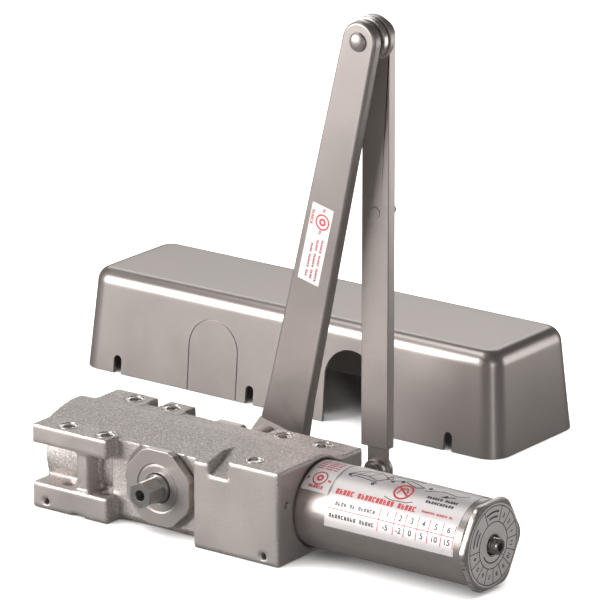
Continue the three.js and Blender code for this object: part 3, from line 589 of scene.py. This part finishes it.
def stroke(work, place, start, end, width, low, high, ratio=1.0, steps=4):
    """A straight thin line over a surface from start to end, each (u, v)."""
    du, dv = end[0] - start[0], (end[1] - start[1]) / ratio
    length = math.hypot(du, dv)
    across_u, across_v = -dv / length * width / 2, du / length * width / 2 * ratio
    rings = []
    for i in range(steps + 1):
        u = start[0] + (end[0] - start[0]) * i / steps
        v = start[1] + (end[1] - start[1]) * i / steps
        sides = (u - across_u, v - across_v), (u + across_u, v + across_v)
        rings.append(wall_ring(place, *sides, low, high))
    add_capped_tube(work, rings)


def path(work, place, points, width, low, high, ratio=1.0):
    """A line over a surface through a list of (u, v) points."""
    for start, end in zip(points, points[1:]):
        stroke(work, place, start, end, width, low, high, ratio, 2)


LETTER_WIDTH = 0.74  # as a share of the distance from letter to letter


def greeked(work, place, start, end, height, low, high, ratio=1.0, words=(4, 6, 5), weight=0.3):
    """A line of lettering too small to read: a bar broken into letter-like posts and word gaps."""
    du, dv = end[0] - start[0], (end[1] - start[1]) / ratio
    length = math.hypot(du, dv)
    along = (du / length, dv / length)
    across = (-along[1], along[0])

    def at(a, b):
        u = start[0] + along[0] * a + across[0] * b
        v = start[1] + (along[1] * a + across[1] * b) * ratio
        return u, v

    letters = sum(words) + len(words) - 1
    pitch = length / letters
    cursor = 0
    for word in words:
        for letter in range(word):
            left, right = cursor * pitch, (cursor + LETTER_WIDTH) * pitch
            thick = pitch * weight
            lowest, highest = thick / 2, height - thick / 2
            middle = height * (0.5 if letter % 2 else 0.95)
            posts = [left + thick / 2] + ([right - thick / 2] if letter % 3 != 1 else [])
            for post in posts:
                stroke(work, place, at(post, 0), at(post, height), thick, low, high, ratio, 2)
            bars = [min(middle, highest)] + ([lowest] if letter % 3 != 0 else [])
            for bar in bars:
                stroke(work, place, at(left, bar), at(right, bar), thick, low, high, ratio, 1)
            cursor += 1
        cursor += 1


def lettering(work, place, text, u, v, size, low, high, ratio=1.0, turn=0.0):
    """Plain digits over a surface, centred on (u, v) and turned by an angle in degrees."""
    curve = bpy.data.curves.new("digits", "FONT")
    curve.body = text
    curve.size = size
    curve.align_x, curve.align_y = "CENTER", "CENTER"
    curve.offset = size * 0.022
    flat = in_scene("digits", curve)
    graph = bpy.context.evaluated_depsgraph_get()
    mesh = bpy.data.meshes.new_from_object(flat.evaluated_get(graph))
    bpy.data.objects.remove(flat)
    spin = Matrix.Rotation(math.radians(turn), 2)
    glyph = bmesh.new()
    glyph.from_mesh(mesh)
    bmesh.ops.remove_doubles(glyph, verts=glyph.verts, dist=1e-4)
    heights = {}
    for face in glyph.faces:
        rounds = []
        for level in (low, high):
            loop = []
            for corner in face.verts:
                key = (corner.index, level)
                if key not in heights:
                    spot = spin @ Vector(corner.co[:2])
                    heights[key] = work.verts.new(place(u + spot.x, v + spot.y * ratio, level))
                loop.append(heights[key])
            rounds.append(loop)
        work.faces.new(reversed(rounds[0]))
        work.faces.new(rounds[1])
    for edge in glyph.edges:
        if len(edge.link_faces) == 1:
            a, b = (corner.index for corner in edge.verts)
            corners = ((a, low), (b, low), (b, high), (a, high))
            work.faces.new([heights[key] for key in corners])
    glyph.free()


def print_piece(name, work, material, body):
    link(name, finished(work, name + "_shape"), material, body, smooth_angle=30)


# ---------------------------------------------------------------- labels on the spring tube

PAPER_LOW, PAPER_HIGH = 0.06, 0.22
TUBE = around_tube(TUBE_RADIUS)
DEGREE = 180 / math.pi / TUBE_RADIUS  # degrees around the tube for one millimetre
INK = dict(low=0.17, high=0.31, ratio=DEGREE)


def chart_grid(red, black):
    """The chart's two rows of numbers, ruled in red."""
    columns = [154, 165, 172.7, 181.4, 189.4, 199, 207.6]
    bottom, middle, top = 5.5, 20.5, 35.5
    stroke(red, TUBE, (117.6, middle), (207.8, middle), 0.6, **INK)
    for x in columns:
        stroke(red, TUBE, (x, bottom), (x, top), 0.55, steps=8, **INK)
    for row, values in ((28, "1 2 3 4 5 6"), (12.5, "-5 -2 0 5 10 15")):
        for (left, right), value in zip(zip(columns, columns[1:]), values.split()):
            lettering(black, TUBE, value, (left + right) / 2, row, 4.9, **INK)


def warning_drawings(black):
    """Generic line drawings, each a width and the points of its line, with small rings as joints."""
    drawings = (
        (0.45, [(121, 77), (128, 92), (138, 95), (133, 79), (121, 77)]),
        (0.35, [(126, 77.5), (131, 93)]),
        (0.45, [(138, 95), (146, 84), (141, 73), (133, 79)]),
        (0.6, [(148, 80), (160, 92), (172, 82), (167, 78), (158, 86)]),
        (0.4, [(174, 76), (186, 84), (196, 80), (203, 86)]),
        (0.45, [(152, 52), (157, 49), (168, 50), (172, 53)]),
        (0.6, [(187, 72), (196, 76)]),
        (0.5, [(122, 70), (125, 74), (140, 71), (142, 67)]),
        (0.5, [(144, 92), (152, 98), (160, 100), (168, 96)]),
    )
    for width, points in drawings:
        path(black, TUBE, points, width, **INK)
    annulus(black, TUBE, 146, 86, 1.6, 2.2, **INK)
    for x, degrees in ((121, 74), (139.5, 66.5), (150, 80), (156, 84), (176, 84), (190, 74)):
        annulus(black, TUBE, x, degrees, 0.3, 1.2, segments=16, **INK)


def chart_label():
    """The adjustment chart: a small grid of numbers in red, a plain warning ring and line drawings."""
    paper = bmesh.new()
    slab(paper, TUBE, 116, 208.5, -4, 112, PAPER_LOW, PAPER_HIGH, 3)
    link("adjustment_chart_paper", finished(paper, "chart_paper_shape"), FOIL, "closer_body",
         ("adjustment_chart_label",))
    red, black = bmesh.new(), bmesh.new()
    chart_grid(red, black)
    greeked(red, TUBE, (119.5, 40), (177, 40), 3.4, words=(5, 10, 5), weight=0.34, **INK)
    greeked(red, TUBE, (181, 42.6), (203, 42.6), 1.3, words=(7, 6, 2), **INK)
    annulus(red, TUBE, 162, 66, 5.1, 6.4, **INK)
    stroke(red, TUBE, (158, 72), (166, 60), 1.3, **INK)
    path(red, TUBE, [(159, 60), (160, 70), (163.5, 72), (165.5, 64)], 0.9, **INK)
    greeked(black, TUBE, (122, 25), (151, 25), 2.4, words=(4, 2, 6), **INK)
    greeked(black, TUBE, (119, 9), (152, 9), 2.4, words=(9, 5), **INK)
    greeked(black, TUBE, (179, 64.5), (201, 64.5), 1.9, words=(6, 5), **INK)
    greeked(black, TUBE, (180, 57), (200, 57), 1.9, words=(10,), **INK)
    warning_drawings(black)
    print_piece("chart_red_print", red, RED, "closer_body")
    print_piece("chart_black_print", black, BLACK, "closer_body")


def rating_label():
    """The small label beside it: a plain ring with greeked lines."""
    paper = bmesh.new()
    slab(paper, TUBE, 95, 114.5, 36, 100, PAPER_LOW, PAPER_HIGH, 3)
    link("rating_label_paper", finished(paper, "rating_paper_shape"), PAPER, "closer_body",
         ("rating_label",))
    red = bmesh.new()
    ring_u, ring_v = 104.6, 56
    annulus(red, TUBE, ring_u, ring_v, 4.1, 5.0, **INK)
    annulus(red, TUBE, ring_u, ring_v, 0.9, 2.3, **INK)
    greeked(red, TUBE, (99.5, 40.5), (110, 40.5), 2.0, words=(6,), **INK)
    greeked(red, TUBE, (111, 52), (113.5, 52), 1.6, words=(2,), **INK)
    greeked(red, TUBE, (96.2, 52), (98, 52), 1.6, words=(1,), **INK)
    for degrees in (72, 77, 82, 87, 92):
        greeked(red, TUBE, (97.5, degrees), (112, degrees), 1.1, words=(5, 6, 3), **INK)
    print_piece("rating_red_print", red, RED, "closer_body")


# ---------------------------------------------------------------- dial on the cap's face

DIAL_FACE = 218.12
DIAL_OUTER, DIAL_INNER = 25.2, 6.2
DIAL_MIDDLE = DIAL_OUTER * 0.56


def on_dial(u, v, height):
    """Maps (right, up, height) as seen from the end onto the cap's face."""
    return Vector((DIAL_FACE + height, u, AXIS_Z + v)) * MM


def polar(radius, degrees):
    """The (u, v) place on the dial at a radius and an angle."""
    angle = math.radians(degrees)
    return radius * math.cos(angle), radius * math.sin(angle)


def dial_sectors(black, low, high):
    """Spokes between the middle and outer circles, with a number in each sector that has no words."""
    sector = 22.5
    number = 0
    for step in range(16):
        degrees = sector * step
        if degrees not in (90, 135, 157.5):
            spoke = polar(DIAL_MIDDLE, degrees), polar(DIAL_OUTER - 1.3, degrees)
            stroke(black, on_dial, *spoke, 0.5, low, high)
        if not 60 < degrees < 170:
            number += 1
            centre = degrees + sector / 2
            u, v = polar(DIAL_OUTER * 0.74, centre)
            lettering(black, on_dial, str(number), u, v, 4.0, low, high, turn=centre - 90)


def dial():
    """The indicator plate: sectors with small numbers around the screw."""
    top = DIAL_FACE + 0.26
    profile = [(DIAL_INNER, DIAL_FACE), (DIAL_OUTER, DIAL_FACE), (DIAL_OUTER, top), (DIAL_INNER, top)]
    lathe("dial_plate_piece", "x", profile, AXIS_CENTRE, PLATE, "closer_body",
          ("dial_plate",), 96)
    black = bmesh.new()
    low, high = 0.22, 0.34
    annulus(black, on_dial, 0, 0, DIAL_OUTER - 1.65, DIAL_OUTER - 1.1, low, high, segments=96)
    annulus(black, on_dial, 0, 0, DIAL_MIDDLE - 0.27, DIAL_MIDDLE + 0.27, low, high, segments=72)
    annulus(black, on_dial, 0, 0, DIAL_INNER + 0.2, DIAL_INNER + 0.6, low, high, segments=64)
    dial_sectors(black, low, high)
    inner_words, outer_words = 17.2, 20.4
    for radius, start, end in ((inner_words, 76, 108), (outer_words, 74, 112),
                               (inner_words, 140, 172), (outer_words, 138, 174)):
        points = [polar(radius, degrees) for degrees in range(start, end, 4)]
        path(black, on_dial, points, 1.1, low, high)
    arrow = [polar(10.6, degrees) for degrees in range(205, 330, 10)]
    tip_u, tip_v = arrow[-1]
    barbs = [(tip_u - 2.4, tip_v + 0.4), (tip_u, tip_v), (tip_u + 0.3, tip_v - 2.4)]
    path(black, on_dial, arrow, 0.8, low, high)
    path(black, on_dial, barbs, 0.8, low, high)
    print_piece("dial_print", black, BLACK, "closer_body")


# ---------------------------------------------------------------- sticker on the main arm

ARM_LEAN = math.radians(12.68)
ARM_FRONT = 85.0


def on_arm(u, v, height):
    """Maps (across, along, height) in the leaning arm's own directions onto its front face."""
    x = u * math.cos(ARM_LEAN) + v * math.sin(ARM_LEAN)
    z = AXIS_Z + v * math.cos(ARM_LEAN) - u * math.sin(ARM_LEAN)
    return Vector((x, ARM_FRONT - height, z)) * MM


STICKER_TURN = math.radians(-0.6)


def on_sticker(u, v, height):
    """Maps onto the arm with the sticker's small turn around its own middle."""
    middle_u, middle_v = -1.5, 130.7
    c, s = math.cos(STICKER_TURN), math.sin(STICKER_TURN)
    du, dv = u - middle_u, v - middle_v
    return on_arm(middle_u + du * c - dv * s, middle_v + du * s + dv * c, height)


def arm_sticker():
    """A paper sticker with a plain ring and greeked lines that run down the arm."""
    body = "pinion_and_main_arm"
    paper = bmesh.new()
    slab(paper, on_sticker, -9.6, 6.4, 105.2, 156.3, 0.03, 0.14, 60)
    link("arm_sticker_paper", finished(paper, "arm_sticker_shape"), PAPER, body)
    red = bmesh.new()
    low, high = 0.1, 0.2
    ring_at = 146.1
    annulus(red, on_sticker, 0, ring_at, 4.1, 5.2, low, high)
    annulus(red, on_sticker, 0, ring_at, 1.1, 2.5, low, high)
    greeked(red, on_sticker, (-8.8, 151.7), (-8.8, 142.0), 2.0, low, high, words=(6,))
    greeked(red, on_sticker, (-1.2, 154.8), (-1.2, 152.0), 1.8, low, high, words=(2,))
    greeked(red, on_sticker, (-1.2, 140.4), (-1.2, 137.6), 1.8, low, high, words=(2,))
    for across, start, end, words in ((-1.4, 134, 107.7, (5, 6, 4)), (-4.9, 130.6, 108.1, (4, 6, 3)),
                                      (2.1, 135, 107, (6, 5, 6))):
        greeked(red, on_sticker, (across, start), (across, end), 1.5, low, high, words=words)
    print_piece("arm_sticker_print", red, RED, body)


# ---------------------------------------------------------------- cover

COVER = dict(length=332, width=92, height=67, wall=1.6, corner=14, edge=9, draft=0.085,
             x=-78.8, y=239)
COVER_SHIFT = -3.5  # from the cover's middle to the middle of its openings
ARCH_OFFSET, ARCH_HALF, ARCH_TOP = 54.5, 20, 50
SLOT_OFFSETS, SLOT_HALF, SLOT_TOP = (24, 132), 3.2, 12
SCORE_WIDTH, SCORE_DEPTH = 0.8, 0.55


def cover_ring(z, inset, corner_steps=14):
    """The cover's rounded outline at a height, drawn in all round by an inset and by its draft."""
    half_x, half_y = COVER["length"] / 2, COVER["width"] / 2
    radius = COVER["corner"] - inset
    lean = COVER["draft"] * z
    points = []
    for quarter, (sx, sy) in enumerate(((1, 1), (-1, 1), (-1, -1), (1, -1))):
        cx, cy = sx * (half_x - COVER["corner"]), sy * (half_y - COVER["corner"])
        for k in range(corner_steps + 1):
            angle = math.pi / 2 * (quarter + k / corner_steps)
            x, y = cx + radius * math.cos(angle), cy + radius * math.sin(angle)
            x, y = x * (1 - lean / half_x), y * (1 - lean / half_y)
            points.append(Vector((COVER["x"] + x, COVER["y"] + y, z)) * MM)
    return points


def cover_side(inset):
    """Rings up one skin of the cover, from its open edge over the rounded rim to the flat top."""
    round_start = COVER["height"] - COVER["edge"]
    rings = [cover_ring(0, inset), cover_ring(round_start - 1.5, inset)]
    steps = 12
    radius = COVER["edge"] - inset
    for k in range(steps + 1):
        angle = math.pi / 2 * k / steps
        height = round_start + radius * math.sin(angle)
        rings.append(cover_ring(height, inset + radius * (1 - math.cos(angle))))
    rings.append(cover_ring(COVER["height"] - inset, COVER["edge"] + 1.2))
    return rings


def prism(name, outline, y0, y1):
    """A cutter: an (x, z) outline run along y."""
    work = bmesh.new()
    rings = [[Vector((x, y, z)) * MM for x, z in outline] for y in (y0, y1)]
    add_capped_tube(work, rings)
    return finished(work, name)


def arch_outline(centre, half, top, bottom=-5.0, steps=24):
    """The (x, z) outline of a slot with a round top."""
    points = [(centre - half, bottom), (centre + half, bottom)]
    for k in range(steps + 1):
        angle = math.pi * k / steps
        points.append((centre + half * math.cos(angle), top - half + half * math.sin(angle)))
    return points


def score_cutter(name, centre):
    """A shallow groove along a knock-out arch, at an even depth in the leaning front wall."""
    work = bmesh.new()
    below, clear = -2.0, -2.0
    outer = arch_outline(centre, ARCH_HALF, ARCH_TOP, below, 40)
    inner = arch_outline(centre, ARCH_HALF - SCORE_WIDTH, ARCH_TOP - SCORE_WIDTH, below, 40)
    section = ((outer, clear), (outer, SCORE_DEPTH), (inner, SCORE_DEPTH), (inner, clear))
    order = list(range(1, len(outer))) + [0]
    rings = []
    for i in order:
        ring = []
        for outline, depth in section:
            x, z = outline[i]
            wall = COVER["y"] - COVER["width"] / 2 + COVER["draft"] * z
            ring.append(Vector((x, wall + depth, z)) * MM)
        rings.append(ring)
    add_capped_tube(work, rings)
    return finished(work, name)


def cover():
    """The pressed cover: a drafted shell with one open arch, one scored arch and four slots."""
    work = bmesh.new()
    outside = cover_side(0)
    inside = cover_side(COVER["wall"])
    add_capped_tube(work, list(reversed(inside)) + outside)
    shell = finished(work, "cover_shape")
    middle = COVER["x"] + COVER_SHIFT
    front = COVER["y"] - COVER["width"] / 2
    reach = (front - 1, front + 14)
    cutters = [prism("arch", arch_outline(middle + ARCH_OFFSET, ARCH_HALF, ARCH_TOP), *reach)]
    for offset in SLOT_OFFSETS:
        for side in (-1, 1):
            outline = arch_outline(middle + side * offset, SLOT_HALF, SLOT_TOP, steps=12)
            cutters.append(prism("slot", outline, *reach))
    cutters.append(score_cutter("score", middle - ARCH_OFFSET))
    tools = [in_scene("cover_cutter", mesh) for mesh in cutters]
    bpy.context.view_layer.update()
    settings = [{"object": tool, "operation": "DIFFERENCE", "solver": "EXACT"} for tool in tools]
    pressed = evaluated_mesh(shell, [("BOOLEAN", values) for values in settings])
    for tool in tools:
        bpy.data.objects.remove(tool)
    link("cover_piece", pressed, SHADED_COVER_PAINT, "cover_shell", ("cover",), 35)


# ---------------------------------------------------------------- finishes for the rest


def finish_inner_parts():
    """Finishes for the frame's parts that keep their own shape."""
    groups = {
        STEEL: ["cylinder_end_plug", "piston", "check_valve_ball", "spring_follower", "thrust_washer",
                "spring_seat_nut", "sweep_valve", "latch_valve", "passage_plug", "arm_washer", "foot_pin",
                "lock_screw_washer"],
        RUBBER: ["end_plug_seal", "front_shaft_seal", "rear_shaft_seal", "piston_seal",
                 "backcheck_valve_seal", "sweep_valve_seal", "latch_valve_seal", "elbow_spacer"],
        BRASS: ["front_pinion_bushing", "rear_pinion_bushing", "check_valve_retainer"],
        DARK_STEEL: ["foot_pin_clip"],
    }
    for material, names in groups.items():
        for name in names:
            nodes[name].data.materials[0] = material


ELBOW_X, ELBOW_Z = 58.258, 287.927
LOCK_SCREW_Z = 177.9


def elbow_rivet():
    """The rivet through the elbow, with a smooth low dome at each end."""
    shank, dome_height = 5.0, 2.3
    ends = []
    for radius, seat, toward in ((6.0, 84.7, -1), (6.6, 105.8, 1)):
        dome = [(0, seat + toward * dome_height)]
        for degrees in range(4, 91, 7):
            across, up = math.sin(math.radians(degrees)), math.cos(math.radians(degrees))
            dome.append((radius * across, seat + toward * dome_height * up))
        ends.append(dome + [(radius, seat), (shank, seat)])
    front, rear = ends
    lathe("elbow_rivet_piece", "y", front + rear[::-1], (ELBOW_X, 0, ELBOW_Z), SHADED_ARM_PAINT,
          "pinion_and_main_arm", ("elbow_rivet",), 64)


def lock_screw_end():
    """The end of the forearm's lock screw, flush in the channel's front."""
    radius, back, face = 3.36, 103.17, 102.97
    plug = [(0, face), (radius, face), (radius, back), (0, back)]
    lathe("lock_screw_end_face", "y", plug, (ELBOW_X, 0, LOCK_SCREW_Z), FOREARM_PAINT, "forearm",
          (), 48)


def refined_parts():
    """Parts whose edges are rounded off and whose faces are smoothed."""
    swing = "pinion_and_main_arm"
    refined("main_arm", SHADED_ARM_PAINT, swing, 0.3, 50, 2, 50)
    refined("arm_screw", DARK_STEEL, swing, 0.35)
    refined("pinion_shaft", STEEL, swing, 0.2, smooth_angle=20)
    refined("elbow_disc", DISC_METAL, swing, 0.5)
    refined("forearm_channel", FOREARM_PAINT, "forearm", 0.6)
    refined("forearm_lock_screw", STEEL, "forearm", 0.3)
    refined("forearm_bar", FOREARM_PAINT, "forearm_extension", 0.4)
    refined("foot_bracket", SHADED_ARM_PAINT, "foot", 0.4)
    refined("front_bearing_nut", MACHINED, "closer_body", 0.45)
    refined("rear_bearing_nut", MACHINED, "closer_body", 0.45)
    refined("backcheck_valve", STEEL, "backcheck_screw", 0.25)


# ---------------------------------------------------------------- studio

VIEW_AZIMUTH, VIEW_ELEVATION = 36.662, 17.218
CAMERA_PLACE = (1.9242, -2.4796, 1.1101)
LENS = 330


def from_angles(azimuth, elevation):
    """A unit vector from the object towards an azimuth and elevation, 0 being straight in front."""
    a, e = math.radians(azimuth), math.radians(elevation)
    return Vector((math.sin(a) * math.cos(e), -math.cos(a) * math.cos(e), math.sin(e)))


def camera():
    """A long lens that looks along the view's two angles."""
    data = bpy.data.cameras.new("studio_camera")
    data.lens = LENS
    data.sensor_width = 36
    data.clip_start, data.clip_end = 0.1, 60
    eye = in_scene("studio_camera", data)
    eye.location = CAMERA_PLACE
    towards = -from_angles(VIEW_AZIMUTH, VIEW_ELEVATION)
    eye.rotation_mode = "QUATERNION"
    eye.rotation_quaternion = towards.to_track_quat("-Z", "Y")
    bpy.context.scene.camera = eye


def area_light(name, azimuth, elevation, distance, size, power):
    """A soft box that faces the middle of the object from a direction."""
    data = bpy.data.lights.new(name, "AREA")
    data.shape = "RECTANGLE"
    data.size, data.size_y = size
    data.energy = power
    lamp = in_scene(name, data)
    aim = Vector((0.02, 0.06, 0.1))
    direction = from_angles(azimuth, elevation)
    lamp.location = aim + direction * distance
    lamp.visible_camera = False
    lamp.rotation_mode = "QUATERNION"
    lamp.rotation_quaternion = (-direction).to_track_quat("-Z", "Y")


LAMPS = (  # name, azimuth, elevation, distance, size, power
    ("key_front_left", -38, 15, 1.6, (1.1, 0.9), 34),
    ("top_left", -70, 62, 1.5, (0.9, 0.35), 5),
    ("front_right", 52, 8, 1.6, (0.22, 1.0), 4.5),
    ("back_left", -143, 26, 1.7, (1.2, 0.7), 5),
    ("rear_right_card", 143, 4, 0.65, (0.3, 0.3), 0.7),
)
FLOOR_REACH, FLOOR_DROP = 12, 0.0004


def studio_floor():
    """A wide pale floor just under the mounting face, washed by a soft sun of its own."""
    mesh = bpy.data.meshes.new("floor")
    corners = [(sx * FLOOR_REACH, sy * FLOOR_REACH, -FLOOR_DROP)
               for sx, sy in ((-1, -1), (1, -1), (1, 1), (-1, 1))]
    mesh.from_pydata(corners, [], [(0, 1, 2, 3)])
    pale = Finish("pale_floor", Roughness=0.9)
    stops = [(0.3, (0.80, 0.795, 0.79)), (0.7, (0.84, 0.835, 0.83))]
    pale.to("Base Color", pale.ramp(pale.noise(3), stops))
    mesh.materials.append(pale.material)
    floor = bpy.data.objects.new("floor", mesh)
    floor_only = bpy.data.collections.new("floor_only")
    bpy.context.scene.collection.children.link(floor_only)
    floor_only.objects.link(floor)
    floor.visible_glossy = False
    wash = bpy.data.lights.new("floor_wash", "SUN")
    wash.energy = 5.5
    wash.angle = math.radians(100)
    in_scene("floor_wash", wash).light_linking.receiver_collection = floor_only


def studio():
    """A faint even surround, soft boxes on all sides and the floor."""
    world = bpy.data.worlds.new("studio")
    bpy.context.scene.world = world
    world.use_nodes = True
    background = world.node_tree.nodes["Background"]
    background.inputs["Color"].default_value = (1.0, 0.99, 0.98, 1)
    background.inputs["Strength"].default_value = 0.09
    for lamp in LAMPS:
        area_light(*lamp)
    studio_floor()
    bpy.context.scene.view_settings.view_transform = "Standard"


camera()
studio()
cast_body()
spot_faces()
spring_tube()
springs()
end_cap()
adjusting_screw()
chart_label()
rating_label()
dial()
arm_sticker()
cover()
elbow_rivet()
lock_screw_end()
refined_parts()
finish_inner_parts()
